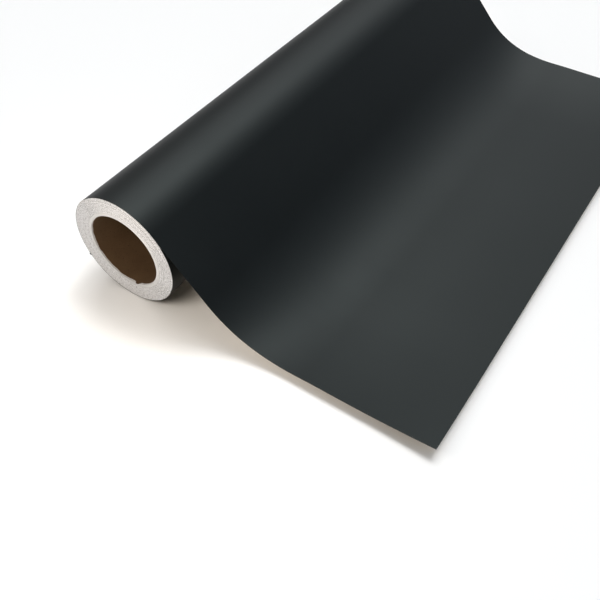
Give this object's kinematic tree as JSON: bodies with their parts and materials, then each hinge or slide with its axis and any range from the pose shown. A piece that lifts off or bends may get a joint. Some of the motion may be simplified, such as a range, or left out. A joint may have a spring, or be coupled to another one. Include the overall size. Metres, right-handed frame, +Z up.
{
  "type": "roll of sign vinyl",
  "caption": "Roll of dark self-adhesive sign vinyl on a paperboard core, with its free end drawn off over the top and laid out flat on its release liner.",
  "frame": {"origin": "centre of the footprint, on the surface that the roll and its laid-out end lie on", "axes": "+X the way the web is drawn off, +Y along the roll's axis, +Z up"},
  "size_m": [0.3828, 0.61, 0.1155],
  "materials": {
    "vinyl_film": "satin",
    "release_liner": "matte",
    "wound_web": "matte",
    "kraft_ply": "matte",
    "board_ply": "matte",
    "tape": "matte"
  },
  "bodies": {
    "web": {"vinyl_film_lead": "vinyl_film", "release_liner_lead": "release_liner"},
    "free_end": {"vinyl_film_free_end": "vinyl_film", "release_liner_free_end": "release_liner"},
    "roll": {"core_inner_ply": "kraft_ply", "core_board_ply_1": "board_ply", "core_board_ply_2": "board_ply", "core_board_ply_3": "board_ply", "core_board_ply_4": "board_ply", "core_outer_ply": "board_ply", "start_tape": "tape", "wound_laps": "wound_web"}
  },
  "joints": [
    {"name": "roll_turn", "type": "hinge", "parent": "web", "child": "roll", "pos_m": [-0.13362, 0, 0.05775], "axis": [0, 1, 0], "range_deg": [-72, 360]},
    {"name": "web_feed", "type": "slide", "parent": "web", "child": "free_end", "axis": [1, 0, 0], "range_m": [-0.073, 0.363]}
  ],
  "couplings": [
    {"joint": "web_feed", "follows": "roll_turn", "m_per_rad": 0.05764}
  ]
}
